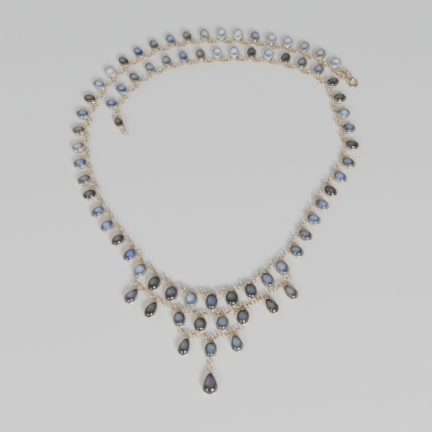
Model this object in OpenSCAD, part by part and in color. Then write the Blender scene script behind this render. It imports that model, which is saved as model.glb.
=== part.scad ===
// Moonstone necklace: oval and pear cabochons in plain cup settings, joined eye to eye by
// round rings, with a two-tier bib in front and a bolt ring behind. It lies open on a flat
// surface. The front of the bib points to -Y, and all sizes are in millimetres.

/* [Settings] */
// Height of a setting, from the surface to the top of its rim
rim_h = 2.4; // [2.2:0.05:2.8]
// How far a setting's foot stands inside its rim, all round
foot_in = 0.45; // [0.2:0.05:0.6]
// Width of the rim that is folded over the stone
rim_fold = 0.36; // [0.34:0.02:0.46]
// Thickness of a setting's wall
wall_t = 0.24; // [0.22:0.02:0.3]
// Thickness of a setting's closed back
back_t = 0.35; // [0.25:0.05:0.6]
// Play between a stone and its setting
stone_play = 0.06; // [0.05:0.01:0.12]
// How far a stone's dome stands above the rim, for each millimetre of its width
dome_ratio = 0.22; // [0.1:0.01:0.3]

/* [Strand stones] */
// Width of a strand setting, across its oval
strand_w = 4.9; // [4.7:0.1:5]
// Length of a strand setting
strand_l = 6.5; // [6.2:0.1:6.6]
// Distance between the two eyes of a strand setting
strand_eyes = 4.85; // [4.8:0.05:4.95]
// Distance from the line of those eyes to the middle of the stone
strand_drop = 3.4; // [3.3:0.05:3.5]

/* [Eyes and rings] */
// Height of the eyes above the surface
eye_z = 1.2; // [1.18:0.01:1.25]
// Radius of a shoulder eye, to the middle of its wire
eye_r = 1.0; // [0.98:0.01:1.02]
// Radius of each eye of a side-by-side pair
pair_eye_r = 0.9; // [0.88:0.01:0.92]
// Distance between the middles of such a pair
pair_gap = 1.8; // [1.76:0.01:1.84]
// Wire of the eyes
eye_wire = 0.33; // [0.28:0.01:0.34]
// Radius of a jump ring, to the middle of its wire
ring_r = 1.0; // [0.98:0.01:1.02]
// Wire of the jump rings
ring_wire = 0.3; // [0.26:0.01:0.32]

/* [Clasp] */
// Radius of the bolt ring, to the middle of its tube
bolt_r = 1.9; // [1.85:0.01:1.95]
// Outer diameter of the bolt ring's tube
tube_d = 1.2; // [1.15:0.01:1.25]
// Bore of that tube
tube_bore = 0.84; // [0.8:0.01:0.86]
// Diameter of the sprung tongue that runs in the tube
tongue_d = 0.56; // [0.5:0.01:0.58]
// Distance from the rosette's middle to the middle of each of its rings
petal_at = 2.2; // [2.15:0.01:2.25]
// Radius of the large end ring that the bolt ring catches
catch_r = 1.5; // [1.45:0.01:1.55]

/* [Hidden] */
$fn = 40;
// The eye line of each strand: places that a smooth curve runs through, from the bib onward.
// The left strand runs on over the top as the outer arc, the right one as the inner arc.
left_way = [
    [-34.1, -26.8], [-48.7, -7.6], [-57.7, 15.0], [-58.1, 36.9], [-46.8, 58.1],
    [-27.6, 72.0], [-4.5, 77.1], [19.2, 75.6], [42.6, 69.0], [61.0, 55.7]
];
right_way = [
    [29.7, -25.8], [42.5, -3.8], [55.8, 17.5], [54.1, 36.0], [48.4, 55.4],
    [25.3, 65.4], [0.9, 66.5], [-23.9, 61.8], [-41.5, 48.2], [-50.6, 26.3]
];
left_count = 27;
right_count = 26;
// Distance along the curve from one setting to the next
pitch = 7.82;
// How far each setting lies turned out of that line, in degrees, from the bib onward
left_turns = [7, -4, -3, 5, -8, 4, 3, 8, 5, 8, 6, 7, 6, 6,
    4, 2, 2, 2, -2, -5, -3, -3, -7, -5, -6, -5, -9];
right_turns = [-1, 2, 5, 5, 4, 8, 3, -1, -7, -3, 2, 1, -6, -6,
    -7, -5, -7, -4, -3, -2, 0, -4, 1, 6, 4, 6];
// The bib's settings, from left to right: x, y, turn, width, length
row_sites = [
    [-32.0, -35.9, -33, 5.2, 7.0],
    [-26.0, -41.1, -29, 5.2, 7.3],
    [-18.9, -45.4, -18, 5.7, 7.0],
    [-10.9, -47.9, -9, 5.6, 6.9],
    [-2.6, -48.6, 0, 5.4, 7.3],
    [5.6, -47.2, 9, 5.7, 7.0],
    [13.3, -44.2, 18, 5.3, 7.2],
    [20.2, -39.7, 30, 5.2, 7.4],
    [26.4, -34.7, 34, 5.4, 7.4]
];
tier_sites = [
    [-15.4, -55.5, 8, 5.3, 6.8],
    [-7.1, -57.6, 1, 5.5, 6.4],
    [1.7, -57.2, -4, 5.5, 6.5],
    [9.9, -54.6, -9, 5.5, 6.7]
];
centre_site = [-2.9, -67.3, -3, 5.2, 6.8];
// The pears have a sixth value: how pointed they are, from 0 for an oval to 0.5
drop_sites = [
    [-34.8, -46.1, -38, 5.0, 7.5, 0.38],
    [-26.7, -51.6, -30, 4.9, 7.5, 0.3],
    [21.4, -50.1, 36, 4.8, 7.5, 0.34],
    [29.3, -44.5, 42, 4.7, 7.5, 0.3],
    [-13.1, -66.0, -19, 4.9, 7.6, 0.38],
    [7.2, -64.8, 17, 5.0, 7.3, 0.34]
];
pendant_site = [-3.1, -79.7, 1, 6.1, 8.6, 0.5];
// The eyes of a row setting: half their distance, and their distance above the oval's end
row_eye_x = 2.5;
row_eye_up = 0.2;
// Distance from the end of a setting to the middle of an eye below or above it
end_eye_at = 0.95;
// Bead of solder between an eye and its setting
solder_d = 0.42;
// A pear's sides and the steps of its stone's dome, and how far its tip's middle lies below it
pear_sides = 24;
pear_steps = 4;
tip_at = 0.9;
// How deep a bead of solder runs into a setting's wall
solder_in = 0.07;
// Steps of the sideways lean of the jump rings along a run of them
lean_most = 28;
lean_step = 68;
// Height at which a setting's wall reaches its full width
wall_top = 1.9;
// Height of the ledge that carries a stone
ledge_z = 1.2;
ledge_w = 0.35;
// How high the stretched balls are that a cup's outside and its seat are cut from
outer_h = wall_top / sqrt(1 - pow(1 - 2 * foot_in / strand_w, 2));
seat_mid = ledge_z + 0.2;
seat_h = (rim_h - seat_mid) / sqrt(1 - pow((strand_w / 2 - rim_fold) / (strand_w / 2 - wall_t), 2));
// The rosette stands on its boss; its rings lie sixty degrees apart
rosette_site = [59.4, 58.8];
petal_count = 6;
petal_turn = -50;
boss_d = 2.3;
// The bolt ring hangs on the rosette's first ring. Its angles go by the compass, from +X.
bolt_link_at = 130;
gap_from = 196;
gap_to = 232;
knob_at = 85;
tongue_opens = 42;
slot_w = 0.5;
knob_d = 0.36;
knob_out = 1.6;
bolt_eye_r = 0.6;
// The end piece: x, y, turn, width, length
end_site = [-44.8, 32.7, 31, 4.4, 6.0];
// Its small ring and the large end ring: heading and lean, and the large ring's place
small_heading = -92;
small_lean = -15;
small_reach = 1.24;
large_heading = -11;
large_lean = 21;
large_site = [-41.71, 27.37];
end_wire = 0.28;
metal = [0.86, 0.81, 0.70];
stone = [0.62, 0.68, 0.80];

// Sites: a site is [x, y, turn, width, length]. Its own +Y points to the eyes above the stone.

function turned(v, a) = [v.x * cos(a) - v.y * sin(a), v.x * sin(a) + v.y * cos(a)];
function on_site(s, v) = [s.x, s.y] + turned(v, s[2]);

// A smooth curve through way points, which are its places at u = 0, 1, 2 and so on
function with_ends(w) = concat([2 * w[0] - w[1]], w, [2 * w[len(w) - 1] - w[len(w) - 2]]);
function curve(w, u) =
    let (p = with_ends(w), i = max(0, min(floor(u), len(w) - 2)), t = u - i)
    0.5 * (2 * p[i + 1] + (p[i + 2] - p[i]) * t
        + (2 * p[i] - 5 * p[i + 1] + 4 * p[i + 2] - p[i + 3]) * pow(t, 2)
        + (3 * p[i + 1] - p[i] - 3 * p[i + 2] + p[i + 3]) * pow(t, 3));
function heading(w, u) = let (d = curve(w, u + 0.02) - curve(w, u - 0.02)) atan2(d.y, d.x);

// The place on the curve that is one pitch beyond place u, found in two steps
function pace(w, u) = norm(curve(w, u + 0.01) - curve(w, u - 0.01)) / 0.02;
function nearer(w, u, v) = v + (pitch - norm(curve(w, v) - curve(w, u))) / pace(w, v);
function next_place(w, u) = nearer(w, u, nearer(w, u, u + pitch / pace(w, u)));

// A strand's settings: each stone hangs to the outside of the line of eyes
function strand_site(w, u, turn) =
    let (a = heading(w, u) + turn, c = curve(w, u) - turned([0, strand_drop], a))
    [c.x, c.y, a, strand_w, strand_l];
left_sites = [for (k = 0, u = 0; k < left_count; u = next_place(left_way, u), k = k + 1)
    strand_site(left_way, u, 180 + left_turns[k])];
right_sites = [for (k = 0, u = 0; k < right_count; u = next_place(right_way, u), k = k + 1)
    strand_site(right_way, u, right_turns[k])];

// Eyes: each is [x, y, radius] in its setting's own frame
strand_eye_list = [[-strand_eyes / 2, strand_drop, eye_r], [strand_eyes / 2, strand_drop, eye_r]];
function shoulder_eyes(s) = [for (side = [-1, 1]) [side * row_eye_x, s[4] / 2 + row_eye_up, eye_r]];
function pair_above(s) = [for (side = [-1, 1]) [side * pair_gap / 2, s[4] / 2 + end_eye_at, pair_eye_r]];
function pair_below(s) = [for (side = [-1, 1]) [side * pair_gap / 2, -s[4] / 2 - end_eye_at, pair_eye_r]];
function one_below(s) = [[0, -s[4] / 2 - end_eye_at, eye_r]];
function one_above(s) = [[0, s[4] / 2 + end_eye_at, eye_r]];

last_row = len(row_sites) - 1;
last_tier = len(tier_sites) - 1;
function row_low(i) = i == 0 || i == last_row ? one_below(row_sites[i]) : pair_below(row_sites[i]);
function row_eyes(i) = concat(shoulder_eyes(row_sites[i]), row_low(i));
function tier_low(i) = i == 0 || i == last_tier ? one_below(tier_sites[i]) : pair_below(tier_sites[i]);
function tier_eyes(i) = concat(pair_above(tier_sites[i]), tier_low(i));

// The middles of a site's eyes on the plan, for the rings that join them
function plan(s, eyes) = [for (e = eyes) on_site(s, [e.x, e.y])];
function row_top_plan(i) = plan(row_sites[i], shoulder_eyes(row_sites[i]));
function row_low_plan(i) = plan(row_sites[i], row_low(i));
function tier_top_plan(i) = plan(tier_sites[i], pair_above(tier_sites[i]));
function tier_low_plan(i) = plan(tier_sites[i], tier_low(i));
function drop_plan(i) = plan(drop_sites[i], pair_above(drop_sites[i]));
function reversed(v) = [for (i = [len(v) - 1:-1:0]) v[i]];

// A run lists, in order, the eyes of each piece along it. A ring joins each to the next.
function links(run) = [for (i = [0:len(run) - 2]) [run[i][len(run[i]) - 1], run[i + 1][0]]];
row_run = concat(
    [[plan(left_sites[0], strand_eye_list)[1]]],
    [for (i = [0:last_row]) row_top_plan(i)],
    [[plan(right_sites[0], strand_eye_list)[0]]]);
upper_run = [
    row_low_plan(0), drop_plan(0), row_low_plan(1), drop_plan(1), row_low_plan(2), tier_top_plan(0),
    row_low_plan(3), tier_top_plan(1), row_low_plan(4), tier_top_plan(2), row_low_plan(5),
    tier_top_plan(3), row_low_plan(6), drop_plan(2), row_low_plan(7), drop_plan(3), row_low_plan(8)];
lower_run = [
    tier_low_plan(0), drop_plan(4), tier_low_plan(1), plan(centre_site, pair_above(centre_site)),
    tier_low_plan(2), drop_plan(5), tier_low_plan(3)];
pendant_run = [plan(centre_site, one_below(centre_site)), plan(pendant_site, one_above(pendant_site))];
left_run = [for (s = left_sites) reversed(plan(s, strand_eye_list))];
right_run = [for (s = right_sites) plan(s, strand_eye_list)];

// The clasp: the rosette hangs on the last eye of the left strand, the bolt ring on the rosette
function compass(a) = [cos(a), sin(a)];
function petal(i) = rosette_site + petal_at * compass(petal_turn + i * 360 / petal_count);
bolt_eye_out = bolt_r + tube_d / 2 + bolt_eye_r - 0.08;
bolt_tilt = asin((eye_z - tube_d / 2) / (bolt_r + bolt_eye_out));
bolt_z = tube_d / 2 + bolt_r * sin(bolt_tilt);
petal_rim = bolt_eye_out - 0.17;
bolt_site = rosette_site + (petal_at + eye_r + petal_rim) * compass(bolt_link_at + 180);
clasp_run = [[left_run[left_count - 1][1]], [petal(4)]];

// The end piece has an eye at each end of its oval
end_eyes = [one_above(end_site)[0], one_below(end_site)[0]];
end_plan = plan(end_site, end_eyes);
end_run = [[right_run[right_count - 1][1]], [end_plan[0]]];

// Building blocks

module torus(r, wire) {
    rotate_extrude() translate([r, 0]) circle(d = wire, $fn = 16);
}

// A ring that stands on edge along a heading and leans by some degrees
module standing_ring(at, heading, lean, r, wire) {
    translate(at) rotate([0, 0, heading]) rotate([90 + lean, 0, 0]) torus(r, wire);
}

// The same ring across two eyes
module jump_ring(pair, lean) {
    d = pair[1] - pair[0];
    m = (pair[0] + pair[1]) / 2;
    standing_ring([m.x, m.y, eye_z], atan2(d.y, d.x), lean, ring_r, ring_wire);
}

module jump_rings(pairs) {
    for (i = [0:len(pairs) - 1]) jump_ring(pairs[i], lean_most * sin(lean_step * i + 30));
}

// An oval body: a stretched ball about height mid, cut off below and above. Its outline lies
// some inset inside the setting's own, and the ball is h high.
module oval_ball(s, inset, mid, h, low, high) {
    intersection() {
        translate([0, 0, mid]) scale([s[3] / 2 - inset, s[4] / 2 - inset, h]) sphere(r = 1);
        translate([-s[3], -s[4], low]) cube([2 * s[3], 2 * s[4], high - low]);
    }
}

// An oval cup: the seat closes in over the stone, and a hollow lies under the stone's ledge
module oval_cup(s) {
    difference() {
        oval_ball(s, 0, wall_top, outer_h, 0, rim_h);
        oval_ball(s, wall_t, seat_mid, seat_h, ledge_z, rim_h + 1);
        oval_ball(s, wall_t + ledge_w, ledge_z, 2.4, back_t, ledge_z + 0.1);
    }
}

// A stone's girdle lies this far inside its setting's outline, and its dome rises from there
stone_in = wall_t + stone_play + 0.04;
stone_z = ledge_z + 0.06;
girdle_z = stone_z + 0.25;
function dome_h(w) = rim_h - girdle_z + dome_ratio * w;

module oval_stone(s) {
    oval_ball(s, stone_in, girdle_z, dome_h(s[3]), stone_z, rim_h + 3);
}

// How far an oval's wall lies from its middle, at the height of the eyes, towards v
function oval_reach(s, v) =
    let (k = sqrt(1 - pow((wall_top - eye_z) / outer_h, 2)), d = v / norm(v))
    k / norm([d.x / (s[3] / 2), d.y / (s[4] / 2)]);

// A pear's outline, point by point, and a closed body through rings of it: it starts at the
// middle of the foot and runs through the places [inset, z] to the middle of the last one
function pear_swell(point, t) = sin(t) * (1 - point * cos(t));
function pear_widest(point) = pear_swell(point, acos((1 - sqrt(1 + 8 * pow(point, 2))) / (4 * point)));
function pear_side(s, inset, i) =
    let (t = 360 * i / pear_sides)
    [(s[3] / 2 - inset) * pear_swell(s[5], t) / pear_widest(s[5]), (s[4] / 2 - inset) * cos(t)];
function pear_ring(s, step) =
    [for (i = [0:pear_sides - 1]) let (p = pear_side(s, step[0], i)) [p.x, p.y, step[1]]];

module pear_body(s, steps) {
    n = pear_sides;
    last = len(steps) - 1;
    points = concat([for (step = steps) each pear_ring(s, step)], [[0, 0, steps[0][1]], [0, 0, steps[last][1]]]);
    foot = [for (i = [0:n - 1]) [n * (last + 1), (i + 1) % n, i]];
    sides = [for (k = [0:last - 1]) for (i = [0:n - 1]) each [
        [k * n + i, k * n + (i + 1) % n, (k + 1) * n + (i + 1) % n],
        [k * n + i, (k + 1) * n + (i + 1) % n, (k + 1) * n + i]]];
    cap = [for (i = [0:n - 1]) [n * (last + 1) + 1, last * n + i, last * n + (i + 1) % n]];
    polyhedron(points, concat(foot, sides, cap));
}

module pear_cup(s) {
    pear_body(s, [[foot_in, 0], [0, wall_top], [0.16, rim_h], [rim_fold, rim_h], [wall_t, ledge_z],
        [wall_t + ledge_w, ledge_z], [wall_t + ledge_w, back_t]]);
}

module pear_stone(s) {
    half = s[3] / 2 - stone_in;
    pear_body(s, concat([[stone_in, stone_z]], [for (k = [0:pear_steps])
        let (a = 82 * k / pear_steps) [stone_in + half * (1 - cos(a)), girdle_z + dome_h(s[3]) * sin(a)]]));
}

// An eye with the bead of solder that holds it to the wall, along the line from a place on the
// setting's middle line. The wall lies at this distance from there.
module eye(e, from_y, wall) {
    d = [e.x, e.y - from_y];
    start = wall - solder_in;
    translate([e.x, e.y, eye_z]) torus(e[2], eye_wire);
    translate([0, from_y, eye_z]) rotate([0, 0, atan2(d.y, d.x)]) rotate([0, 90, 0])
        translate([0, 0, start]) cylinder(d = solder_d, h = norm(d) - e[2] - start);
}

module on_site(s) {
    translate([s.x, s.y, 0]) rotate([0, 0, s[2]]) children();
}

module oval_setting(s, eyes) {
    color(metal) on_site(s) union() {
        oval_cup(s);
        for (e = eyes) eye(e, 0, oval_reach(s, [e.x, e.y]));
    }
}

module set_oval(s) {
    color(stone) on_site(s) oval_stone(s);
}

// A pear's eyes hang on its narrow end, whose middle lies tip_at below the tip
module pear_setting(s, eyes) {
    color(metal) on_site(s) union() {
        pear_cup(s);
        for (e = eyes) eye(e, s[4] / 2 - tip_at, tip_at - foot_in * (1 - eye_z / wall_top));
    }
}

module set_pear(s) {
    color(stone) on_site(s) pear_stone(s);
}

// The clasp

module on_bolt() {
    translate([bolt_site.x, bolt_site.y, bolt_z]) rotate([0, 0, bolt_link_at]) rotate([0, -bolt_tilt, 0])
        rotate([0, 0, -bolt_link_at]) children();
}

module arc(from, to, r, d) {
    rotate([0, 0, from]) rotate_extrude(angle = to - from) translate([r, 0]) circle(d = d, $fn = 24);
}

module rosette() {
    color(metal) {
        for (i = [0:petal_count - 1]) translate([petal(i).x, petal(i).y, eye_z]) torus(eye_r, eye_wire);
        translate([rosette_site.x, rosette_site.y, 0]) {
            cylinder(d1 = boss_d - 0.9, d2 = boss_d, h = eye_z - 0.3);
            translate([0, 0, eye_z - 0.3]) cylinder(d = boss_d + 0.2, h = 0.6);
            translate([0, 0, eye_z + 0.3]) cylinder(d1 = boss_d + 0.2, d2 = boss_d - 1.2, h = 0.5);
        }
    }
}

module bolt_ring() {
    color(metal) on_bolt() {
        difference() {
            arc(gap_to, 360 + gap_from, bolt_r, tube_d);
            arc(gap_to - 5, 365 + gap_from, bolt_r, tube_bore);
            rotate([0, 0, knob_at - tongue_opens - 8]) rotate_extrude(angle = tongue_opens + 16)
                translate([bolt_r, -slot_w / 2]) square([tube_d, slot_w]);
        }
        rotate([0, 0, bolt_link_at]) translate([bolt_eye_out, 0, 0]) rotate([90, 0, 0]) torus(bolt_eye_r, ring_wire);
    }
}

module bolt_tongue() {
    color(metal) on_bolt() {
        arc(knob_at - 12, gap_to + 6, bolt_r, tongue_d);
        rotate([0, 0, knob_at]) translate([bolt_r, 0, 0]) {
            rotate([0, 90, 0]) cylinder(d = knob_d, h = knob_out);
            translate([knob_out, 0, 0]) sphere(d = 0.7);
        }
    }
}

module clasp_links() {
    color(metal) jump_rings(links(clasp_run));
}

// The end piece, with its small ring and the large ring that the bolt ring catches

module end_rings() {
    color(metal) {
        small = end_plan[1] + small_reach * compass(small_heading);
        standing_ring([small.x, small.y, eye_z], small_heading, small_lean, ring_r, end_wire);
        standing_ring([large_site.x, large_site.y, catch_r * cos(large_lean) + end_wire / 2],
            large_heading, large_lean, catch_r, end_wire);
    }
}

module end_setting() {
    oval_setting(end_site, end_eyes);
}

module end_stone() {
    set_oval(end_site);
}

// The bib's pieces

module row_setting(i) {
    oval_setting(row_sites[i], row_eyes(i));
}

module row_stone(i) {
    set_oval(row_sites[i]);
}

module tier_setting(i) {
    oval_setting(tier_sites[i], tier_eyes(i));
}

module tier_stone(i) {
    set_oval(tier_sites[i]);
}

module drop_setting(i) {
    pear_setting(drop_sites[i], pair_above(drop_sites[i]));
}

module drop_stone(i) {
    set_pear(drop_sites[i]);
}

module centre_setting() {
    oval_setting(centre_site, concat(pair_above(centre_site), one_below(centre_site)));
}

module centre_stone() {
    set_oval(centre_site);
}

module pendant_setting() {
    pear_setting(pendant_site, one_above(pendant_site));
}

module pendant_stone() {
    set_pear(pendant_site);
}

module row_links() {
    color(metal) jump_rings(links(row_run));
}

module upper_swag_links() {
    color(metal) jump_rings(links(upper_run));
}

module lower_swag_links() {
    color(metal) {
        jump_rings(links(lower_run));
        jump_rings(links(pendant_run));
    }
}

// The strands

module left_settings() {
    for (s = left_sites) oval_setting(s, strand_eye_list);
}

module left_stones() {
    for (s = left_sites) set_oval(s);
}

module left_links() {
    color(metal) jump_rings(links(left_run));
}

module right_settings() {
    for (s = right_sites) oval_setting(s, strand_eye_list);
}

module right_stones() {
    for (s = right_sites) set_oval(s);
}

module right_links() {
    color(metal) jump_rings(concat(links(right_run), links(end_run)));
}

for (i = [1:9]) {
    row_setting(i - 1);
    row_stone(i - 1);
}
for (i = [1:4]) {
    tier_setting(i - 1);
    tier_stone(i - 1);
}
for (i = [1:6]) {
    drop_setting(i - 1);
    drop_stone(i - 1);
}
centre_setting();
centre_stone();
pendant_setting();
pendant_stone();
left_settings();
left_stones();
left_links();
right_settings();
right_stones();
right_links();
row_links();
upper_swag_links();
lower_swag_links();
rosette();
bolt_ring();
bolt_tongue();
clasp_links();
end_setting();
end_stone();
end_rings();
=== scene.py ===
# %% [markdown]
# # A moonstone necklace laid out on a table
#
# The real piece is a festoon necklace of silver gilt: cabochon moonstones in plain cup settings,
# joined eye to eye by round jump rings. It lies open, in one big oval, with a bib in front. The
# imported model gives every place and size. This script keeps them and makes each cup, stone and
# ring again with rounder edges and a real finish. First come the libraries and the model.

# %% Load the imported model
import math

import bmesh
import bpy
import numpy as np
from mathutils import Matrix, Vector


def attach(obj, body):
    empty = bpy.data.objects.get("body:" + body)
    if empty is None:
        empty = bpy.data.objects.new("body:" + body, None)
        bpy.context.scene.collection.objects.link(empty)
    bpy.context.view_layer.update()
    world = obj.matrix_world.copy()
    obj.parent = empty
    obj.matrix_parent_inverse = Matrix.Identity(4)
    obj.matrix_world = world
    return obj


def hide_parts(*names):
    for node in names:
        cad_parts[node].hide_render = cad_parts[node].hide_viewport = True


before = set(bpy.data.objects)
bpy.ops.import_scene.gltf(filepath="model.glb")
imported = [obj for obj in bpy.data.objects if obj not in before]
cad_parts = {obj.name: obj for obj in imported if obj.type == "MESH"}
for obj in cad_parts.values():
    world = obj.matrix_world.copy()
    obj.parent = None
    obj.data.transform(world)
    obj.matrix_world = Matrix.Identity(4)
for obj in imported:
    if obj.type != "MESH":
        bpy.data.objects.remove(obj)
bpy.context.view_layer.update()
MM = 0.001
print("packed nodes:", len(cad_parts))

# %% [markdown]
# The photograph was taken from in front and well above, at about seventy degrees to the table.
# A camera at the same angle and distance gives the same foreshortening, so the far side of the
# oval looks as much smaller as it does there. The lens is worked out for the photograph's frame.

# %% Place the camera
CAMERA_AT = Vector((-0.8, -84.1, 211.0)) * MM
CAMERA_LEAN = math.radians(19)
SENSOR = 36.0
FOCAL_PIXELS, PHOTO_PIXELS = 520, 432

camera_data = bpy.data.cameras.new("camera")
camera_data.sensor_width = SENSOR
camera_data.lens = SENSOR * FOCAL_PIXELS / PHOTO_PIXELS
camera_data.clip_start = 0.01
camera = bpy.data.objects.new("camera", camera_data)
camera.location = CAMERA_AT
camera.rotation_euler = (CAMERA_LEAN, 0, 0)
bpy.context.scene.collection.objects.link(camera)
bpy.context.scene.camera = camera
print("lens", round(camera_data.lens, 2), "mm")

# %% [markdown]
# Polished domes show every lamp as a small spot, so the lamps decide how a cabochon looks. Two
# small lamps in front, left and right, give each stone its pair of bright points. A wide soft
# panel stands to the left, behind. It lights the table but stays out of the mirror that each
# level wire makes, so the gold keeps its darks and reads against the pale sheet.

# %% Light the table
WHITE, COOL_WHITE = (1, 1, 1), (0.95, 0.97, 1.0)
ROOM_TONE, ROOM_STRENGTH = (0.82, 0.84, 0.88, 1), 0.34


def add_panel(name, at, size, power, tint=WHITE):
    """A round lamp that faces the middle of the table; sizes in metres, power in watts."""
    light = bpy.data.lights.new(name, "AREA")
    light.shape = "DISK"
    light.size = size
    light.energy = power
    light.color = tint
    panel = bpy.data.objects.new(name, light)
    panel.location = at
    panel.rotation_euler = (-Vector(at)).to_track_quat("-Z", "Y").to_euler()
    bpy.context.scene.collection.objects.link(panel)


add_panel("front_left_lamp", at=(-0.38, -0.66, 0.50), size=0.22, power=3.4)
add_panel("front_right_lamp", at=(0.30, -0.68, 0.48), size=0.36, power=11.0)
add_panel("back_left_panel", at=(-0.75, 0.45, 0.72), size=1.30, power=6.0, tint=COOL_WHITE)

world = bpy.data.worlds.new("soft_room")
world.use_nodes = True
backdrop = world.node_tree.nodes["Background"]
backdrop.inputs["Color"].default_value = ROOM_TONE
backdrop.inputs["Strength"].default_value = ROOM_STRENGTH
bpy.context.scene.world = world

# %% [markdown]
# The table is a plain pale sheet. A hint of tooth in its roughness keeps it from looking like
# plastic.

# %% Lay the table
TABLE_TONE = (0.77, 0.77, 0.76, 1)
TABLE_ROUGHNESS = (0.72, 0.9)
TOOTH_WAVES = 900
HALF_TABLE = 1.5


def new_material(name):
    material = bpy.data.materials.new(name)
    material.use_nodes = True
    return material, material.node_tree.nodes, material.node_tree.links


table_paint, nodes, links = new_material("pale_table")
shader = nodes["Principled BSDF"]
shader.inputs["Base Color"].default_value = TABLE_TONE
table_place = nodes.new("ShaderNodeTexCoord")
tooth = nodes.new("ShaderNodeTexNoise")
tooth.inputs["Scale"].default_value = TOOTH_WAVES
tooth_range = nodes.new("ShaderNodeMapRange")
tooth_range.inputs["To Min"].default_value, tooth_range.inputs["To Max"].default_value = TABLE_ROUGHNESS
links.new(table_place.outputs["Object"], tooth.inputs["Vector"])
links.new(tooth.outputs["Fac"], tooth_range.inputs["Value"])
links.new(tooth_range.outputs["Result"], shader.inputs["Roughness"])

sheet = bmesh.new()
bmesh.ops.create_grid(sheet, x_segments=1, y_segments=1, size=HALF_TABLE)
table_mesh = bpy.data.meshes.new("table")
sheet.to_mesh(table_mesh)
sheet.free()
table = bpy.data.objects.new("table", table_mesh)
table.data.materials.append(table_paint)
bpy.context.scene.collection.objects.link(table)
print("table laid")

# %% [markdown]
# A shader is a small machine of nodes. Each helper here adds one node to a tree and gives back
# its output, so that a pattern further down reads like a short sum. The first one opens a node
# group, the way to use one effect in several materials with different values. Nearly all that a
# noise gives lies between 0.3 and 0.7, so that span is remapped when the whole noise is wanted.

# %% Write helpers that make a pattern
NOISE_SPAN = (0.3, 0.7)


def group_with(name, inputs, outputs):
    """A new node group with its two end nodes. An input is given as a label, kind and value."""
    group = bpy.data.node_groups.new(name, "ShaderNodeTree")
    for label, kind, value in inputs:
        socket = group.interface.new_socket(name=label, in_out="INPUT", socket_type=kind)
        socket.default_value = value
    for label, kind in outputs:
        group.interface.new_socket(name=label, in_out="OUTPUT", socket_type=kind)
    return group, group.nodes.new("NodeGroupInput"), group.nodes.new("NodeGroupOutput")


def noise(tree, vector, waves, detail=3.0, rough=0.55):
    """Soft noise with so many waves to the metre."""
    node = tree.nodes.new("ShaderNodeTexNoise")
    node.inputs["Scale"].default_value = waves
    node.inputs["Detail"].default_value = detail
    node.inputs["Roughness"].default_value = rough
    tree.links.new(vector, node.inputs["Vector"])
    return node.outputs["Fac"]


def remap(tree, value, span, to=(0.0, 1.0)):
    """Turns a span of values smoothly into another, and keeps its ends beyond the span."""
    node = tree.nodes.new("ShaderNodeMapRange")
    node.interpolation_type = "SMOOTHSTEP"
    for label, number in zip(("From Min", "From Max", "To Min", "To Max"), (*span, *to)):
        node.inputs[label].default_value = number
    tree.links.new(value, node.inputs["Value"])
    return node.outputs["Result"]


print("a whole noise is remapped from", NOISE_SPAN)

# %% [markdown]
# The other helpers join what the first ones made. A number or a colour goes straight on a socket
# and an output is linked to it, so each of them takes either. A mix node keeps a set of sockets
# for every kind of value, and the numbers of its colour sockets are named here once.

# %% Write helpers that join values and colours
COLOUR_A, COLOUR_B, COLOUR_OUT = 6, 7, 2


def set_or_link(tree, socket, value):
    if isinstance(value, (int, float, tuple)):
        socket.default_value = value
    else:
        tree.links.new(value, socket)


def combine(tree, operation, first, second):
    node = tree.nodes.new("ShaderNodeMath")
    node.operation = operation
    set_or_link(tree, node.inputs[0], first)
    set_or_link(tree, node.inputs[1], second)
    return node.outputs["Value"]


def multiply(tree, first, *others):
    for other in others:
        first = combine(tree, "MULTIPLY", first, other)
    return first


def blend_colour(tree, share, first, second, mode="MIX"):
    node = tree.nodes.new("ShaderNodeMix")
    node.data_type = "RGBA"
    node.blend_type = mode
    set_or_link(tree, node.inputs["Factor"], share)
    set_or_link(tree, node.inputs[COLOUR_A], first)
    set_or_link(tree, node.inputs[COLOUR_B], second)
    return node.outputs[COLOUR_OUT]


def grey_of(tree, value):
    """A grey of the given value, to multiply a colour by."""
    node = tree.nodes.new("ShaderNodeCombineColor")
    for channel in node.inputs:
        tree.links.new(value, channel)
    return node.outputs["Color"]


print("a mix takes its colours from sockets", COLOUR_A, "and", COLOUR_B)

# %% [markdown]
# Every metal part shares one kind of wear and tone: a thin brown tarnish in patches, a tone that
# darkens towards the table, fine rubbing marks, and a soft unevenness from the hammer and the file.
# It could be painted by hand, but a pattern on object coordinates needs no picture and fits every
# piece. It is made once, as a node group with a bright and a dull tone, so the metals differ in values.

# %% Build the metal's wear
FOOT_Z, SHOULDER_Z = 0.2 * MM, 2.1 * MM
DARKENING_AT_THE_TOP = 0.12
PATCH_WAVES, RUB_WAVES, HAMMER_WAVES = 700, 6000, 1400
PATCH_EDGE = (0.42, 0.68)
RUBBED_ROUGHNESS, DARKENING_DULLS = (0.16, 0.30), 0.25
RUB_DEPTH = 0.25

wear, wear_in, wear_out = group_with(
    "metal_wear",
    [("Bright", "NodeSocketColor", (0.9, 0.86, 0.78, 1)),
     ("Dull", "NodeSocketColor", (0.4, 0.37, 0.32, 1)), ("Tarnish", "NodeSocketFloat", 0.4)],
    [("Color", "NodeSocketColor"), ("Roughness", "NodeSocketFloat"), ("Height", "NodeSocketFloat")])
place = wear.nodes.new("ShaderNodeTexCoord").outputs["Object"]
height = wear.nodes.new("ShaderNodeSeparateXYZ")
wear.links.new(place, height.inputs["Vector"])
# The tone darkens towards the table, from the shoulder down to the foot.
low_down = remap(wear, height.outputs["Z"], (FOOT_Z, SHOULDER_Z), (1.0, DARKENING_AT_THE_TOP))
patches = remap(wear, noise(wear, place, PATCH_WAVES), PATCH_EDGE)
tarnish_and_darkening = multiply(wear, combine(wear, "MAXIMUM", low_down, patches), wear_in.outputs["Tarnish"])
colour = blend_colour(wear, tarnish_and_darkening, wear_in.outputs["Bright"], wear_in.outputs["Dull"])
rubbing = noise(wear, place, RUB_WAVES, detail=4)
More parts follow.
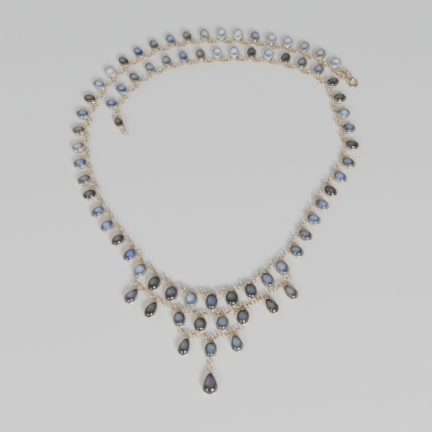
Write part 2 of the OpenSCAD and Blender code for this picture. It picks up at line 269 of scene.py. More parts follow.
rubbed = remap(wear, rubbing, NOISE_SPAN, RUBBED_ROUGHNESS)
shine = combine(wear, "ADD", rubbed, multiply(wear, tarnish_and_darkening, DARKENING_DULLS))
hammered = combine(wear, "ADD", noise(wear, place, HAMMER_WAVES), multiply(wear, rubbing, RUB_DEPTH))
for label, value in (("Color", colour), ("Roughness", shine), ("Height", hammered)):
    wear.links.new(value, wear_out.inputs[label])
print("group", wear.name, "with", len(wear.nodes), "nodes")

# %% [markdown]
# The cups have lost some of their gilding and look creamier. The eyes and jump rings kept more
# of it and are a warmer gold. One material with a mask could do both, but the change comes
# exactly where wire meets wall, so two materials that share the wear group are simpler.

# %% Mix the two metals
DENT_STRENGTH, DENT_DEPTH = 0.25, 0.05 * MM


def metal(name, bright, dull, tarnish):
    material, nodes, links = new_material(name)
    shader = nodes["Principled BSDF"]
    shader.inputs["Metallic"].default_value = 1.0
    worn = nodes.new("ShaderNodeGroup")
    worn.node_tree = wear
    worn.inputs["Bright"].default_value = (*bright, 1)
    worn.inputs["Dull"].default_value = (*dull, 1)
    worn.inputs["Tarnish"].default_value = tarnish
    dent = nodes.new("ShaderNodeBump")
    dent.inputs["Strength"].default_value = DENT_STRENGTH
    dent.inputs["Distance"].default_value = DENT_DEPTH
    links.new(worn.outputs["Color"], shader.inputs["Base Color"])
    links.new(worn.outputs["Roughness"], shader.inputs["Roughness"])
    links.new(worn.outputs["Height"], dent.inputs["Height"])
    links.new(dent.outputs["Normal"], shader.inputs["Normal"])
    return material


cup_metal = metal("cup_silver", bright=(0.86, 0.69, 0.42), dull=(0.28, 0.19, 0.10), tarnish=0.52)
ring_metal = metal("ring_gold", bright=(0.87, 0.66, 0.36), dull=(0.25, 0.16, 0.08), tarnish=0.54)
print("metals:", cup_metal.name, ring_metal.name)

# %% [markdown]
# A moonstone is a clear feldspar with a floating blue light inside. Every stone has its own body
# tone and its own sheen tone, kept as attributes on the mesh, so one material serves all. A third
# attribute, the place, says where a point lies within its stone: across, up and out from the
# middle. A real cloud of light inside each stone would be slow, so it is drawn on the dome from
# the place. It floats in the upper half and fades from full to nothing over a cloudy edge.

# %% Float a patch of light in the stone
SHEEN_UP, SHEEN_STRENGTH = 0.24, 0.9
CLOUD_WAVES, CLOUD_SHARE = 420, 0.7
PATCH_FADE = (0.18, 1.12)

glow, glow_in, glow_out = group_with(
    "moonstone_light",
    [("Body", "NodeSocketColor", (0.3, 0.3, 0.35, 1)), ("Sheen", "NodeSocketColor", (0.6, 0.65, 0.8, 1)),
     ("Place", "NodeSocketVector", (0, 0, 0)), ("Strength", "NodeSocketFloat", SHEEN_STRENGTH)],
    [("Color", "NodeSocketColor"), ("Light", "NodeSocketColor"), ("Roughness", "NodeSocketFloat")])
spot = glow.nodes.new("ShaderNodeTexCoord").outputs["Object"]
within = glow.nodes.new("ShaderNodeSeparateXYZ")
glow.links.new(glow_in.outputs["Place"], within.inputs["Vector"])
across, up, out = (within.outputs[axis] for axis in "XYZ")
down = multiply(glow, up, -1)
# Painted sheen: the patch sits towards +Y in every stone, whichever way the stone lies, as light from one
# direction would place it.
above_sheen = combine(glow, "SUBTRACT", up, SHEEN_UP)
distance = combine(glow, "ADD", multiply(glow, across, across), multiply(glow, above_sheen, above_sheen))
clouds = noise(glow, spot, CLOUD_WAVES, detail=3, rough=0.5)
away = combine(glow, "ADD", distance, multiply(glow, clouds, CLOUD_SHARE))
patch = remap(glow, away, PATCH_FADE, (1.0, 0.0))
print("the patch of light takes", len(glow.nodes), "nodes")

# %% [markdown]
# The feldspar grew in thin sheets, which show as long faint streaks, with a finer grain between
# and a bright needle here and there. A noise whose space is squeezed along one axis comes out
# stretched along it, and that is all a streak needs. Values near one darken or lift the tone.

# %% Draw the streaks, the needles and the grain
STREAK_STRETCH = (1.0, 0.22, 1.0)
STREAK_WAVES, STREAK_SPAN, STREAK_SHADES = 2600, (0.35, 0.7), (0.74, 1.16)
NEEDLE_WAVES, NEEDLE_SPAN, NEEDLE_LIGHT = 1500, (0.60, 0.70), (0.0, 0.45)
GRAIN_WAVES, GRAIN_SHADES = 1500, (0.80, 1.16)

streak_map = glow.nodes.new("ShaderNodeMapping")
streak_map.inputs["Scale"].default_value = STREAK_STRETCH
glow.links.new(spot, streak_map.inputs["Vector"])
stretched = streak_map.outputs["Vector"]
streak_noise = noise(glow, stretched, STREAK_WAVES, detail=4, rough=0.65)
streaks = remap(glow, streak_noise, STREAK_SPAN, STREAK_SHADES)
needle_noise = noise(glow, stretched, NEEDLE_WAVES, detail=2, rough=0.4)
needles = remap(glow, needle_noise, NEEDLE_SPAN, NEEDLE_LIGHT)
grain = remap(glow, noise(glow, spot, GRAIN_WAVES, detail=5, rough=0.7), NOISE_SPAN, GRAIN_SHADES)
print("with its streaks and grain the group has", len(glow.nodes), "nodes")

# %% [markdown]
# The stone is darker at its very edge, where it meets the cup, and over its near half: both are
# painted shade. Painted light lifts the far edge a little, where the dome turns away from the lamps.
# Each of these is one remapped place, where nought is the stone's middle and one is its girdle.

# %% Paint shade on the edge and the near half, and light on the far edge
EDGE_FROM, EDGE_SHADES = (0.84, 0.98), (1.0, 0.86)
FAR_FROM, FAR_LIFT = (0.35, 0.95), (1.0, 1.25)
LOW_FROM, NEAR_SHADE_FROM, NEAR_SHADES = (0.0, 0.65), (0.0, 0.8), (1.0, 0.74)

# Painted light: the far edge is lifted where the dome turns away from the lamps.
painted_far_light = remap(glow, multiply(glow, up, out), FAR_FROM, FAR_LIFT)
# Painted shade: the stone darkens near its girdle, where it meets the cup.
edge = multiply(glow, remap(glow, out, EDGE_FROM, EDGE_SHADES), painted_far_light)
# Painted shade: the near half of every stone is darker, whichever way the stone lies.
low_side = remap(glow, down, LOW_FROM)
painted_near_shade = remap(glow, multiply(glow, low_side, out), NEAR_SHADE_FROM, NEAR_SHADES)
# The stone's own streaks and grain are multiplied here with the painted edge shade, near-half shade and
# far-edge light.
grain_and_painted_shading = multiply(glow, streaks, grain, multiply(glow, edge, painted_near_shade))
print("with its shading the group has", len(glow.nodes), "nodes")

# %% [markdown]
# Light that comes in from behind gathers at the near edge, as a pale crescent just inside the
# rim. It is the product of two masks, one for the near side and one for a narrow band. A third
# breaks it here and there, so that no stone wears an even hoop.

# %% Gather the light at the near edge
NEAR_FROM = (-0.25, 0.50)
BAND_RISES, BAND_FALLS, BAND_LEFT = (0.74, 0.90), (0.93, 0.99), (1.0, 0.4)
BREAK_WAVES, BREAK_SPAN, BREAK_LIGHT = 300, (0.36, 0.58), (0.35, 1.0)

near_side = remap(glow, down, NEAR_FROM)
band = multiply(glow, remap(glow, out, BAND_RISES), remap(glow, out, BAND_FALLS, BAND_LEFT))
breaks = remap(glow, noise(glow, spot, BREAK_WAVES, detail=2), BREAK_SPAN, BREAK_LIGHT)
crescent = multiply(glow, near_side, band, breaks)
print("with its crescent the group has", len(glow.nodes), "nodes")

# %% [markdown]
# The patch, the crescent and a few bright needles decide where the sheen tone takes over from
# the body tone. A part of the patch and the crescent is also given off as faint light, because
# in the real stone it comes from below the surface and no shadow falls on it.

# %% Join the tones and the light
CRESCENT_LIGHT, PATCH_FALL = 0.9, 1.6
POLISH_WAVES, POLISH_ROUGHNESS = 5200, (0.05, 0.11)

lit = combine(glow, "MAXIMUM", multiply(glow, patch, glow_in.outputs["Strength"]),
              combine(glow, "MAXIMUM", crescent, needles))
tone = blend_colour(glow, lit, glow_in.outputs["Body"], glow_in.outputs["Sheen"])
# The colour and the given-off light are both multiplied by the grain and the painted shading.
colour = blend_colour(glow, 1.0, tone, grey_of(glow, grain_and_painted_shading), "MULTIPLY")
floating_light = combine(glow, "ADD", combine(glow, "POWER", patch, PATCH_FALL),
                         multiply(glow, crescent, CRESCENT_LIGHT))
light = blend_colour(glow, 1.0, glow_in.outputs["Sheen"],
                     grey_of(glow, multiply(glow, floating_light, grain_and_painted_shading)), "MULTIPLY")
polish = remap(glow, noise(glow, spot, POLISH_WAVES, detail=2), NOISE_SPAN, POLISH_ROUGHNESS)
for label, value in (("Color", colour), ("Light", light), ("Roughness", polish)):
    glow.links.new(value, glow_out.inputs[label])
print("group", glow.name, "with", len(glow.nodes), "nodes")

# %% [markdown]
# The stone could be glass, with true refraction. In a closed cup of this size a solid body under
# a high polish reads the same, renders faster and keeps its looks in an exported model. So the
# material reads the three attributes and hands them to the group, and only the index of
# refraction is the true one for feldspar.

# %% Polish the stone
FELDSPAR_IOR = 1.53
FLOATING_LIGHT = 0.34

moonstone, nodes, links = new_material("moonstone")
shader = nodes["Principled BSDF"]
shader.inputs["IOR"].default_value = FELDSPAR_IOR
shader.inputs["Emission Strength"].default_value = FLOATING_LIGHT
floating = nodes.new("ShaderNodeGroup")
floating.node_tree = glow
for label in ("body", "sheen", "place"):
    reader = nodes.new("ShaderNodeAttribute")
    reader.attribute_name = label
    source = reader.outputs["Vector" if label == "place" else "Color"]
    links.new(source, floating.inputs[label.capitalize()])
links.new(floating.outputs["Color"], shader.inputs["Base Color"])
links.new(floating.outputs["Light"], shader.inputs["Emission Color"])
links.new(floating.outputs["Roughness"], shader.inputs["Roughness"])
print("stone material:", moonstone.name)

# %% [markdown]
# No two stones match. They could be drawn by chance, but then pale and dark ones would fall in
# the wrong places. So these are the tones that a sorter would name, each as a body and a sheen,
# and then the stones of each part of the necklace, from the bib onward or from left to right.

# %% Name the stones' tones
TONES = {
    "clear dark": ((0.18, 0.18, 0.175), (0.36, 0.365, 0.36)),
    "dark grey": ((0.20, 0.205, 0.22), (0.38, 0.39, 0.42)),
    "brown grey": ((0.22, 0.205, 0.19), (0.40, 0.38, 0.365)),
    "green grey": ((0.18, 0.19, 0.175), (0.35, 0.365, 0.345)),
    "mauve grey": ((0.21, 0.20, 0.215), (0.40, 0.39, 0.435)),
    "grey": ((0.28, 0.285, 0.295), (0.52, 0.53, 0.55)),
    "taupe": ((0.30, 0.29, 0.28), (0.53, 0.52, 0.505)),
    "pale grey": ((0.40, 0.41, 0.43), (0.73, 0.75, 0.79)),
    "grey lavender": ((0.25, 0.25, 0.275), (0.47, 0.475, 0.545)),
    "lavender": ((0.31, 0.315, 0.35), (0.59, 0.60, 0.71)),
    "slate violet": ((0.20, 0.205, 0.23), (0.37, 0.385, 0.50)),
    "periwinkle": ((0.27, 0.285, 0.33), (0.53, 0.57, 0.74)),
    "cobalt": ((0.22, 0.235, 0.30), (0.43, 0.48, 0.73)),
    "cornflower": ((0.28, 0.30, 0.35), (0.53, 0.60, 0.81)),
    "steel blue": ((0.26, 0.275, 0.30), (0.49, 0.53, 0.61)),
    "light blue": ((0.35, 0.38, 0.44), (0.66, 0.73, 0.86)),
    "blue white": ((0.50, 0.54, 0.64), (0.87, 0.94, 1.0)),
    "milk white": ((0.62, 0.64, 0.66), (0.98, 1.0, 1.0)),
}
LEFT_TONES = ["cobalt", "dark grey", "cornflower", "cornflower", "green grey", "grey", "periwinkle",
              "pale grey", "taupe", "periwinkle", "brown grey", "light blue", "milk white",
              "brown grey", "cobalt", "grey", "periwinkle", "taupe", "pale grey", "blue white",
              "milk white", "lavender", "blue white", "blue white", "pale grey", "pale grey",
              "blue white"]
RIGHT_TONES = ["steel blue", "grey", "cornflower", "periwinkle", "clear dark", "cornflower",
               "steel blue", "clear dark", "steel blue", "light blue", "brown grey", "dark grey",
               "lavender", "grey", "green grey", "blue white", "clear dark", "blue white", "blue white",
               "taupe", "cornflower", "lavender", "lavender", "grey", "cornflower", "cornflower"]
ROW_TONES = ["light blue", "clear dark", "mauve grey", "light blue", "slate violet", "green grey",
             "dark grey", "steel blue", "lavender"]
TIER_TONES = ["grey lavender", "mauve grey", "steel blue", "dark grey"]
DROP_TONES = ["grey lavender", "clear dark", "brown grey", "taupe", "mauve grey", "steel blue"]
print(len(TONES), "tones for", len(LEFT_TONES) + len(RIGHT_TONES), "strand stones")

# %% [markdown]
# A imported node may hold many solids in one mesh, such as all the stones of a strand. Walking
# from face to neighbouring face parts them again. The spread of a solid's surface then gives its
# axes: the longest for an oval, the shortest for a ring.

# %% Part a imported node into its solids
WELD = 1e-6


def islands(node):
    """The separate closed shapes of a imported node, each as a list of triangles of points."""
    bm = bmesh.new()
    bm.from_mesh(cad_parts[node].data)
    bmesh.ops.remove_doubles(bm, verts=bm.verts, dist=WELD)
    bm.faces.ensure_lookup_table()
    seen, found = set(), []
    for face in bm.faces:
        if face.index in seen:
            continue
        seen.add(face.index)
        group, todo = [], [face]
        while todo:
            current = todo.pop()
            group.append(np.array([v.co for v in current.verts]))
            for edge in current.edges:
                for other in edge.link_faces:
                    if other.index not in seen:
                        seen.add(other.index)
                        todo.append(other)
        found.append(group)
    bm.free()
    return found


def middle_and_axes(triangles):
    """The area's middle, and its axes from the shortest spread to the longest."""
    areas = [np.linalg.norm(np.cross(t[1] - t[0], t[2] - t[0])) / 2 for t in triangles]
    middle = sum(a * t.mean(0) for a, t in zip(areas, triangles)) / sum(areas)
    spread = np.zeros((3, 3))
    for a, t in zip(areas, triangles):
        arms = t - middle
        spread += a / 12 * (arms.T @ arms + np.outer(arms.sum(0), arms.sum(0)))
    return middle, np.linalg.eigh(spread)[1].T


print("left strand:", len(islands("left_stones")), "stones")

# %% [markdown]
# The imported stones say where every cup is, so no place is typed in here twice. The flat
# underside of a stone gives its long axis, and its reach gives the middle and the size of its
# setting. The side that faces the middle of the big oval carries the eyes, which gives the long
# axis its direction.

# %% Read the settings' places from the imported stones
STONE_IN = 0.34 * MM
FLAT_WITHIN = 0.01 * MM
OVAL_MIDDLE = Vector((0, 15, 0)) * MM
LEFT_START, RIGHT_START = Vector((-38, -30, 0)) * MM, Vector((34, -28, 0)) * MM


class Site:
    """A setting's place: its middle on the table, its own +Y, its width, length and point."""

    def __init__(self, triangles):
        self.point = 0.0
        lowest = min(t[:, 2].min() for t in triangles)
        underside = [t for t in triangles if t[:, 2].max() < lowest + FLAT_WITHIN]
        middle, axes = middle_and_axes(underside)
        up = Vector((axes[2][0], axes[2][1], 0)).normalized()
        if up.dot(OVAL_MIDDLE - Vector((middle[0], middle[1], 0))) < 0:
            up = -up
        self.up, self.side = up, Vector((up.y, -up.x, 0))
        points = np.concatenate(triangles)
        along, wide = points @ np.array(self.up), points @ np.array(self.side)
        self.middle = self.side * (wide.max() + wide.min()) / 2 + self.up * (along.max() + along.min()) / 2
        self.width = (wide.max() - wide.min()) + 2 * STONE_IN
        self.length = (along.max() - along.min()) + 2 * STONE_IN

    def matrix(self):
        turn = Matrix((self.side, self.up, Vector((0, 0, 1)))).transposed().to_4x4()
        return Matrix.Translation(self.middle) @ turn


def sites(node, start=None):
    """A node's sites. A strand's are walked one by one, from the one nearest to start."""
    found = [Site(group) for group in islands(node)]
    if start is None:
        return found
    walked = []
    while found:
        nearest = min(found, key=lambda site: (site.middle - start).length)
        found.remove(nearest)
        walked.append(nearest)
        start = nearest.middle
    return walked


left_sites = sites("left_stones", LEFT_START)
right_sites = sites("right_stones", RIGHT_START)
print("left", len(left_sites), "right", len(right_sites), "first width and length",
      round(left_sites[0].width / MM, 2), round(left_sites[0].length / MM, 2))

# %% [markdown]
# Cups and stones are the same kind of shape: rings of one outline that shrink and rise. A lathe
# makes only round ones, but rings can take any outline. An oval is a stretched circle, and a pear
# is an oval whose width is multiplied by a straight slope, so that it narrows to one end.

# %% Draw the outline of an oval or a pear
def swell(point, along):
    """The width of a pear at a place along it, before the pear is scaled to its true width."""
    return math.sqrt(max(0.0, 1 - along * along)) * (1 - point * along)


def widest(point):
    """Where a pear is widest, as a share of its half length: its outline runs level there."""
    return (1 - math.sqrt(1 + 8 * point ** 2)) / (4 * point) if point else 0.0


def outline(site, turn, inset):
    across, along = math.sin(turn), math.cos(turn)
    share = math.copysign(swell(site.point, along), across) / swell(site.point, widest(site.point))
    return (site.width / 2 - inset) * share, (site.length / 2 - inset) * along


print("a pointed pear is widest at", round(widest(0.5), 2), "of its half length")

# %% [markdown]
# A bmesh circle is extruded straight up, one step at a time, into a column. Then every step of
# the column is moved to its own place in the wall. Done in this order, one column serves for all
# cups, and another for all stones.

# %% Make a body from rings of one outline
def column(steps, segments):
    """A closed column with one ring of points at each whole height, before it is shaped."""
    bm = bmesh.new()
    bmesh.ops.create_circle(bm, cap_ends=True, radius=1, segments=segments)
    bm.faces.ensure_lookup_table()
    top = bm.faces[0]
    for step in range(1, steps):
        below = top
        grown = bmesh.ops.extrude_face_region(bm, geom=[below], use_keep_orig=(step == 1))["geom"]
        top = next(g for g in grown if isinstance(g, bmesh.types.BMFace))
        raised = [g for g in grown if isinstance(g, bmesh.types.BMVert)]
        bmesh.ops.translate(bm, vec=(0, 0, 1), verts=raised)
        if step > 1 and below.is_valid:
            bmesh.ops.delete(bm, geom=[below], context="FACES_ONLY")
    bmesh.ops.poke(bm, faces=[f for f in bm.faces if len(f.verts) == segments])
    bmesh.ops.recalc_face_normals(bm, faces=bm.faces)
    return bm


def column_mesh(name, steps, segments):
    bm = column(steps, segments)
    mesh = bpy.data.meshes.new(name)
    bm.to_mesh(mesh)
    bm.free()
    return mesh


def is_pole(v):
    """Whether a point of an unshaped column is the middle of one of its ends."""
    return v.co.xy.length < 0.5


def shape_column(bm, site, steps):
    """Moves each ring to its inset from the outline and its height, both in millimetres."""
    for v in bm.verts:
        inset, z = steps[round(v.co.z)]
        x, y = (0, 0) if is_pole(v) else outline(site, math.atan2(v.co.x, v.co.y), inset * MM)
        v.co = Vector((x, y, z * MM))
    bmesh.ops.transform(bm, matrix=site.matrix(), verts=bm.verts)


def open_edges(mesh):
    bm = bmesh.new()
    bm.from_mesh(mesh)
    count = sum(1 for e in bm.edges if len(e.link_faces) != 2)
    bm.free()
    return count


print("open edges of a short column:", open_edges(column_mesh("short_column", 3, 8)))

# %% [markdown]
# A cup is a closed bowl with a slightly tapered wall. Its edge was burnished over the stone, so
# the rim is a rounded band that leans on the dome and catches the light. The bowl's floor lies
# under the stone. Each step is an inset from the outline and a height, in millimetres.

# %% Give the cup its section
CUP_STEPS = [(0.52, 0.0), (0.44, 0.05), (0.20, 0.6), (0.06, 1.2), (0.02, 1.8), (0.012, 2.05), (0.03, 2.20),
             (0.09, 2.32), (0.18, 2.385), (0.28, 2.4), (0.38, 2.385), (0.47, 2.335), (0.53, 2.26),
             (0.47, 2.12), (0.36, 1.7), (0.36, 1.25), (1.0, 1.2)]
CUP_SEGMENTS = 48
cup_column = column_mesh("cup_column", len(CUP_STEPS), CUP_SEGMENTS)
print("cup column open edges:", open_edges(cup_column), "faces:", len(cup_column.polygons))

# %% [markdown]
# An eye is a round of wire soldered to the cup's shoulder. There are far more than a hundred of
# them, and a six-sided section spun in fourteen steps is round enough at this size. The solder
# shows as a small bead where the eye meets the wall. In a setting's mesh the cup takes the first
# material and all wire takes the second, so the faces are told so here.

# %% Spin the eyes and the jump rings
WIRE_SLOT = 1
SEAM = 1e-7
EYE_R, PAIR_EYE_R, EYE_WIRE = 1.0, 0.9, 0.44
JUMP_R, JUMP_WIRE = 1.0, 0.41


def mesh_of_wire(name, bm):
    for face in bm.faces:
        face.material_index = WIRE_SLOT
    mesh = bpy.data.meshes.new(name)
    bm.to_mesh(mesh)
    bm.free()
    return mesh


def ring_mesh(name, radius, wire, steps=14, sides=6):
    bm = bmesh.new()
    made = bmesh.ops.create_circle(bm, cap_ends=False, radius=wire / 2 * MM, segments=sides)
    bmesh.ops.rotate(bm, verts=made["verts"], matrix=Matrix.Rotation(math.pi / 2, 3, "X"))
    bmesh.ops.translate(bm, verts=made["verts"], vec=(radius * MM, 0, 0))
    bmesh.ops.spin(bm, geom=bm.verts[:] + bm.edges[:], cent=(0, 0, 0), axis=(0, 0, 1),
                   angle=2 * math.pi, steps=steps, use_merge=True)
    bmesh.ops.remove_doubles(bm, verts=bm.verts, dist=SEAM)
    bmesh.ops.recalc_face_normals(bm, faces=bm.faces)
    return mesh_of_wire(name, bm)


def bead_mesh(name):
    bm = bmesh.new()
    bmesh.ops.create_icosphere(bm, subdivisions=1, radius=1)
    return mesh_of_wire(name, bm)


eye_shape = {EYE_R: ring_mesh("shoulder_eye", EYE_R, EYE_WIRE),
             PAIR_EYE_R: ring_mesh("pair_eye", PAIR_EYE_R, EYE_WIRE)}
bead_shape = bead_mesh("solder_bead")
jump_shape = ring_mesh("jump_ring", JUMP_R, JUMP_WIRE)
print("eye faces:", len(eye_shape[EYE_R].polygons), "open edges:", open_edges(eye_shape[EYE_R]))

# %% [markdown]
# Small shapes are copied into one bmesh for each piece, which keeps a whole strand a single
# piece. A finished piece is smooth except at true edges, takes the materials it is given, rides
# with its body and stands for its imported node, which is hidden.

# %% Join the copies of a shape
SHARP_FROM = math.radians(62)


def place_copy(bm, shape, matrix):
    first = len(bm.verts)
    bm.from_mesh(shape)
    bm.verts.ensure_lookup_table()
    bmesh.ops.transform(bm, matrix=matrix, verts=bm.verts[first:])


def finish_piece(name, bm, materials, node):
    mesh = bpy.data.meshes.new(name)
    bm.to_mesh(mesh)
    bm.free()
    for material in materials:
        mesh.materials.append(material)
    mesh.shade_smooth()
    mesh.set_sharp_from_angle(angle=SHARP_FROM)
    piece = bpy.data.objects.new(name, mesh)
    bpy.context.scene.collection.objects.link(piece)
    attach(piece, "necklace")
    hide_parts(node)
    return piece


def finish_metal(name, bm, node):
    piece = finish_piece(name, bm, [cup_metal, ring_metal], node)
    print(name, "faces", len(piece.data.polygons), "open edges", open_edges(piece.data))


print("edges sharper than", round(math.degrees(SHARP_FROM)), "degrees stay sharp")

# %% [markdown]
# Each family of settings has its own eyes, and they are always measured from the middle of its
# stone: strand stones hang from two shoulder eyes, the bib's ovals add one or two below, and a
# drop hangs from a pair. All of these are in millimetres, as a bench worker would give them.

# %% Say where the eyes go
STRAND_EYE_X, STRAND_EYE_Y = 2.425, 3.4
STRAND_EYES = [(side * STRAND_EYE_X, STRAND_EYE_Y, EYE_R) for side in (-1, 1)]
SINGLE, PAIR, SHOULDERS = "single", "pair", "shoulders"
END_EYE_AT = 0.95
SHOULDER_X, SHOULDER_UP = 2.5, 0.2


def eyes_of(site, above=None, below=None):
    """The eyes at a setting's two ends, each as its place and radius in millimetres."""
    half = site.length / 2 / MM
    ends = {SINGLE: [(0, half + END_EYE_AT, EYE_R)],
            PAIR: [(side * PAIR_EYE_R, half + END_EYE_AT, PAIR_EYE_R) for side in (-1, 1)],
            SHOULDERS: [(side * SHOULDER_X, half + SHOULDER_UP, EYE_R) for side in (-1, 1)],
            None: []}
    return ends[above] + [(x, -y, r) for x, y, r in ends[below]]


print("eyes of a strand stone:", STRAND_EYES)

# %% [markdown]
# A bead of solder bridges the small gap between the wall and the eye, and bites a little into
# both. It runs along the line from the setting's middle to the eye. A pear is slim at the end
# that carries its eyes, so its line starts just inside that end.

# %% Solder an eye to the wall
EYE_Z = 1.2
PEAR_ROOT, PEAR_REACH = 0.9, 0.8
WALL_IN = 0.08
BEAD_GRIP, BEAD_HALF_W, BEAD_HALF_H = 0.16, 0.27, 0.25


def wall_reach(site, way):
    """How far the wall stands from the point that the line of a bead starts from."""
    if site.point:
        return PEAR_REACH * MM
    half_width, half_length = site.width / 2 - WALL_IN * MM, site.length / 2 - WALL_IN * MM
    return 1 / math.hypot(way.x / half_width, way.y / half_length)


def add_eye(bm, site, x, y, radius):
    eye = Vector((x, y, EYE_Z)) * MM
    root = Vector((0, site.length / 2 - PEAR_ROOT * MM if site.point else 0, EYE_Z * MM))
    line = eye - root
    way = line.normalized()
    reach = wall_reach(site, way)
    gap = line.length - radius * MM - reach
    half = max(gap / 2, 0) + BEAD_GRIP * MM
    turn = line.to_track_quat("X", "Z").to_matrix().to_4x4()
    size = Matrix.Diagonal((half, BEAD_HALF_W * MM, BEAD_HALF_H * MM, 1))
    bead_at = Matrix.Translation(root + way * (reach + gap / 2))
    place_copy(bm, eye_shape[radius], site.matrix() @ Matrix.Translation(eye))
    place_copy(bm, bead_shape, site.matrix() @ bead_at @ turn @ size)


print("a bead is", 2 * BEAD_HALF_W, "mm wide and", 2 * BEAD_HALF_H, "mm high")

# %% [markdown]
# A setting is the cup's column shaped to its site, with its eyes soldered on. Both strands hold
# dozens of them in a single mesh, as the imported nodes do, so each strand is one piece.

# %% Put the strands' settings together
def add_setting(bm, site, eyes):
    cup = bmesh.new()
    cup.from_mesh(cup_column)
    shape_column(cup, site, CUP_STEPS)
    shaped = bpy.data.meshes.new("cup")
    cup.to_mesh(shaped)
    cup.free()
    bm.from_mesh(shaped)
    for x, y, radius in eyes:
        add_eye(bm, site, x, y, radius)


def dress_settings(name, node, places, eyes_for):
    bm = bmesh.new()
    for site in places:
        add_setting(bm, site, eyes_for(site))
    finish_metal(name, bm, node)


dress_settings("left_cups", "left_settings", left_sites, lambda site: STRAND_EYES)
dress_settings("right_cups", "right_settings", right_sites, lambda site: STRAND_EYES)

# %% [markdown]
# A cabochon is a low wall, the girdle, under a dome. The dome is drawn with the same stacked
# rings, closer together near the girdle where it curves most. The place's third number goes from
# nought at the top to one at the girdle. The other two drift a little from stone to stone, so
# that no two patches of light sit alike.

# %% Cut one cabochon
STONE_Z, GIRDLE_Z, RIM_H, DOME_RATIO = 1.26, 1.90, 2.4, 0.217
SET_IN = 0.42
DOME_TURNS = [0, 8, 16, 25, 34, 43, 52, 61, 70, 79]
STONE_SEGMENTS = 48
stone_column = column_mesh("stone_column", len(DOME_TURNS) + 1, STONE_SEGMENTS)


def shape_stone(site, drift):
    """A stone's mesh. Its dome is the top of a stretched ball, and its pole closes the top."""
    rise = RIM_H - GIRDLE_Z + DOME_RATIO * site.width / MM
    steps = [(STONE_Z, 1.0)]
    steps += [(GIRDLE_Z + rise * math.sin(math.radians(t)), math.cos(math.radians(t)))
              for t in DOME_TURNS]
    bm = bmesh.new()
    bm.from_mesh(stone_column)
    shares = []
    for v in bm.verts:
        z, share = steps[round(v.co.z)]
        if is_pole(v):
            share = 0.0
            v.co = Vector((0, 0, (z if z < GIRDLE_Z else GIRDLE_Z + rise) * MM))
        else:
            x, y = outline(site, math.atan2(v.co.x, v.co.y), SET_IN * MM)
            v.co = Vector((x * share, y * share, z * MM))
        shares.append(share)
    bmesh.ops.transform(bm, matrix=site.matrix(), verts=bm.verts)
    half = (site.width + site.length) / 4 - SET_IN * MM
    place = [((v.co.x - site.middle.x) / half + drift[0], (v.co.y - site.middle.y) / half + drift[1], share)
             for v, share in zip(bm.verts, shares)]
    mesh = bpy.data.meshes.new("stone")
    bm.to_mesh(mesh)
    bm.free()
    return mesh, place


print("stone column open edges:", open_edges(stone_column), "faces:", len(stone_column.polygons))

# %% [markdown]
# The tones and the places are stored point by point, as the attributes that the material reads.
# Colours are named as they look on a screen and stored as the linear values that light adds up in.

# %% Dress the strands with their stones
DRIFT_TURNS, DRIFT_ACROSS, DRIFT_UP = 300, 0.13, 0.12


def linear(colour):
    return [c / 12.92 if c <= 0.04045 else ((c + 0.055) / 1.055) ** 2.4 for c in colour] + [1.0]


def dress_stones(name, node, places, tones):
    bm = bmesh.new()
    body, sheen, place = [], [], []
    for site, tone in zip(places, tones):
        turn = DRIFT_TURNS * (site.middle.x + 2 * site.middle.y)
        mesh, points = shape_stone(site, (DRIFT_ACROSS * math.cos(turn), DRIFT_UP * math.sin(turn)))
        bm.from_mesh(mesh)
        body += linear(TONES[tone][0]) * len(points)
        sheen += linear(TONES[tone][1]) * len(points)
        place += [c for p in points for c in p]
    piece = finish_piece(name, bm, [moonstone], node)
    for label, kind, values in (("body", "FLOAT_COLOR", body), ("sheen", "FLOAT_COLOR", sheen),
                                ("place", "FLOAT_VECTOR", place)):
        layer = piece.data.attributes.new(label, kind, "POINT")
        layer.data.foreach_set("vector" if label == "place" else "color", values)
    print(name, "faces", len(piece.data.polygons), "open edges", open_edges(piece.data))


dress_stones("left_cabochons", "left_stones", left_sites, LEFT_TONES)
dress_stones("right_cabochons", "right_stones", right_sites, RIGHT_TONES)

# %% [markdown]
# The bib's stones are set one by one, so each has its own node in the model and its own piece
# here. The row carries the swags: its end stones have one eye below and the others have two.

# %% Dress the bib's row and tier
def dress_pair(family, number, tone, above, below, point=0.0):
    stem = f"{family}_setting_{number}" if number else f"{family}_setting"
    gem = stem.replace("setting", "stone")
    here = sites(gem)
    here[0].point = point
    dress_settings(stem.replace("setting", "cup"), stem, here, lambda site: eyes_of(site, above, below))
    dress_stones(gem.replace("stone", "cabochon"), gem, here, [tone])


for family, tones, above in (("row", ROW_TONES, SHOULDERS), ("tier", TIER_TONES, PAIR)):
    for number, tone in enumerate(tones, 1):
        dress_pair(family, number, tone, above, SINGLE if number in (1, len(tones)) else PAIR)

# %% [markdown]
# The drops are pears of differing points, from nearly an egg to the sharp pendant at the bottom.
# The centre joins the lower swag to the pendant. The end piece is a small flat collet, with a
# ring at either end.

# %% Dress the drops, the centre, the pendant and the end piece
DROP_POINTS = [0.38, 0.30, 0.34, 0.30, 0.38, 0.34]
PENDANT_POINT = 0.5
for number, (tone, point) in enumerate(zip(DROP_TONES, DROP_POINTS), 1):
    dress_pair("drop", number, tone, PAIR, None, point)
dress_pair("centre", 0, "steel blue", PAIR, SINGLE)
dress_pair("pendant", 0, "dark grey", SINGLE, None, PENDANT_POINT)
dress_pair("end", 0, "brown grey", SINGLE, SINGLE)

# %% [markdown]
# The jump rings stand on edge and lean as they happened to fall. Each packed ring is a torus, so
# the axis with the least spread is its own axis, and the new ring is laid exactly over it.

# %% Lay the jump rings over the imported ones
END_WIRE, LARGE_END_R = 0.28, 1.5
small_end = ring_mesh("small_end_ring", JUMP_R, END_WIRE)
large_end = ring_mesh("large_end_ring", LARGE_END_R, END_WIRE, steps=28, sides=8)


def end_shape(outer):
    return large_end if outer > LARGE_END_R else small_end


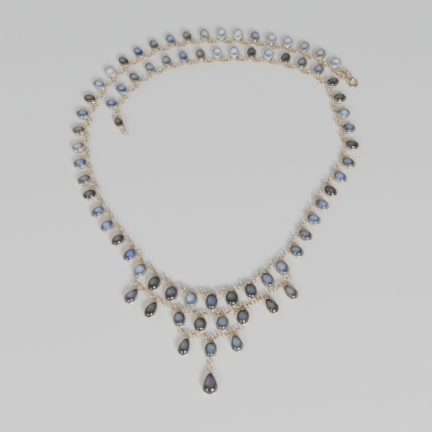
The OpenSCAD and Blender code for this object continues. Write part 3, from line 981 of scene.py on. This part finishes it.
def dress_rings(name, node, shape_for):
    """Lays over each packed ring the shape that fits its outer radius in millimetres."""
    bm = bmesh.new()
    for group in islands(node):
        middle, axes = middle_and_axes(group)
        turn = Vector(axes[0]).to_track_quat("Z", "Y").to_matrix().to_4x4()
        outer = np.sqrt(((np.concatenate(group) - middle) ** 2).sum(1)).max() / MM
        place_copy(bm, shape_for(outer), Matrix.Translation(Vector(middle)) @ turn)
    finish_metal(name, bm, node)


for name in ("left", "right", "row", "upper_swag", "lower_swag", "clasp"):
    dress_rings(name + "_rings", name + "_links", lambda outer: jump_shape)
dress_rings("end_jump_rings", "end_rings", end_shape)

# %% [markdown]
# The rosette is a flower of six rings soldered round a small turned boss. The boss is the same
# stacked column again, this time with a radius and a height for every ring of points.

# %% Turn the boss and set the six rings round it
ROSETTE_AT = Vector((59.4, 58.8, 0)) * MM
PETALS, PETAL_AT, PETAL_TURN = 6, 2.2, math.radians(-50)
BOSS_STEPS = [(0.70, 0.0), (0.76, 0.3), (0.98, 0.82), (1.14, 0.94), (1.22, 1.08), (1.23, 1.25),
              (1.18, 1.42), (1.06, 1.54), (0.88, 1.61), (0.66, 1.66), (0.48, 1.69), (0.42, 1.73),
              (0.41, 1.80), (0.36, 1.89), (0.25, 1.96), (0.12, 1.99)]
BOSS_SEGMENTS = 32
flower = column(len(BOSS_STEPS), BOSS_SEGMENTS)
for v in flower.verts:
    radius, z = BOSS_STEPS[round(v.co.z)]
    v.co = Vector((v.co.x * radius, v.co.y * radius, z)) * MM + ROSETTE_AT
for face in flower.faces:
    face.material_index = WIRE_SLOT
petal_shape = ring_mesh("petal", EYE_R, EYE_WIRE, steps=24, sides=8)
for number in range(PETALS):
    turn = PETAL_TURN + number * 2 * math.pi / PETALS
    at = Vector((PETAL_AT * math.cos(turn), PETAL_AT * math.sin(turn), EYE_Z)) * MM
    place_copy(flower, petal_shape, Matrix.Translation(ROSETTE_AT + at))
finish_metal("flower", flower, "rosette")

# %% [markdown]
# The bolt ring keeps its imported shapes, which are already true: the tube with its link eye and
# the sprung tongue with its thumb knob. They only need the ring metal.

# %% Finish the bolt ring
for node in ("bolt_ring", "bolt_tongue"):
    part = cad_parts[node]
    part.data.materials.clear()
    part.data.materials.append(ring_metal)
print("bolt ring finished")
